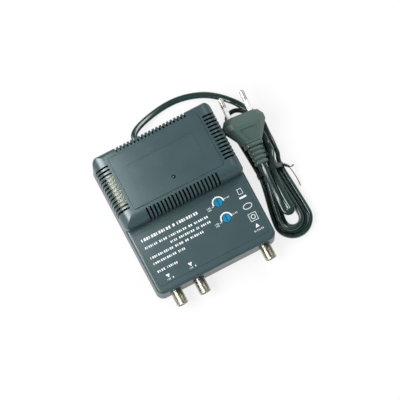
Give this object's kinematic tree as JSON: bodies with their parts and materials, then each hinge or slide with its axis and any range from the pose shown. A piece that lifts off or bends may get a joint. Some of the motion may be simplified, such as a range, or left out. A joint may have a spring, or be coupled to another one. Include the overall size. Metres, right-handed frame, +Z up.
{
  "type": "tv signal amplifier",
  "caption": "Aerial signal amplifier: stepped vented housing with coaxial sockets in front, screwdriver trimmers, a power lamp and a tied mains lead with a flat plug.",
  "frame": {"origin": "on the surface the unit stands on, under the middle of the housing and its front sockets", "axes": "+Z up; -Y the way the coaxial sockets point; +X to the right when the sockets face the viewer's feet"},
  "size_m": [0.1437, 0.1516, 0.0457],
  "materials": {
    "housing": "satin",
    "foot_rubber": "matte",
    "screw_steel": "satin",
    "board_laminate": "satin",
    "socket_nickel": "bright",
    "insulator_plastic": "satin",
    "contact_brass": "bright",
    "shield_steel": "satin",
    "trimmer_plastic": "satin",
    "dial_blue": "satin",
    "lamp_green": "gloss",
    "tinned_wire": "bright",
    "spacer_plastic": "matte",
    "core_steel": "varnished",
    "bobbin_plastic": "satin",
    "winding_copper": "enamelled",
    "tape_yellow": "satin",
    "capacitor_sleeve": "gloss",
    "diode_black": "satin",
    "regulator_black": "satin",
    "sink_aluminium": "satin",
    "fuse_glass": "clear",
    "terminal_plastic": "satin",
    "wire_insulation": "satin",
    "transistor_black": "satin",
    "ferrite": "matte",
    "cord_sheath": "satin",
    "tie_plastic": "gloss",
    "plug_grey": "satin",
    "pin_metal": "bright",
    "sleeve_plastic": "satin"
  },
  "bodies": {
    "housing": {"top_cover": "housing", "bottom_tray": "housing", "feet": "foot_rubber", "housing_screws": "screw_steel", "board_screws": "screw_steel", "circuit_board": "board_laminate", "output_1_socket": "socket_nickel", "output_2_socket": "socket_nickel", "antenna_socket": "socket_nickel", "socket_insulators": "insulator_plastic", "socket_contacts": "contact_brass", "shield_frame": "shield_steel", "shield_lid": "shield_steel", "trimmer_bodies": "trimmer_plastic", "power_lamp": "lamp_green", "lamp_leads": "tinned_wire", "transformer_pins": "tinned_wire", "fuse_clips": "tinned_wire", "lamp_spacer": "spacer_plastic", "transformer_core": "core_steel", "transformer_bobbin": "bobbin_plastic", "transformer_winding": "winding_copper", "transformer_tape": "tape_yellow", "smoothing_capacitor": "capacitor_sleeve", "rectifier_diodes": "diode_black", "voltage_regulator": "regulator_black", "regulator_heatsink": "sink_aluminium", "mains_fuse": "fuse_glass", "mains_terminal": "terminal_plastic", "mains_wires": "wire_insulation", "amplifier_transistors": "transistor_black", "splitter_ferrites": "ferrite", "cord_gland": "cord_sheath", "cord_lead": "cord_sheath", "cord_hank": "cord_sheath", "cord_tail": "cord_sheath", "twist_tie": "tie_plastic", "plug_body": "plug_grey", "plug_strain_relief": "plug_grey", "plug_pins": "pin_metal", "pin_sleeves": "sleeve_plastic"},
    "upper_dial": {"upper_gain_dial": "dial_blue"},
    "lower_dial": {"lower_gain_dial": "dial_blue"}
  },
  "joints": [
    {"name": "upper_dial_turn", "type": "hinge", "parent": "housing", "child": "upper_dial", "pos_m": [0.023, -0.0083, 0.02], "axis": [0, 0, 1], "range_deg": [-135, 135]},
    {"name": "lower_dial_turn", "type": "hinge", "parent": "housing", "child": "lower_dial", "pos_m": [0.023, -0.0223, 0.02], "axis": [0, 0, 1], "range_deg": [-135, 135]}
  ]
}
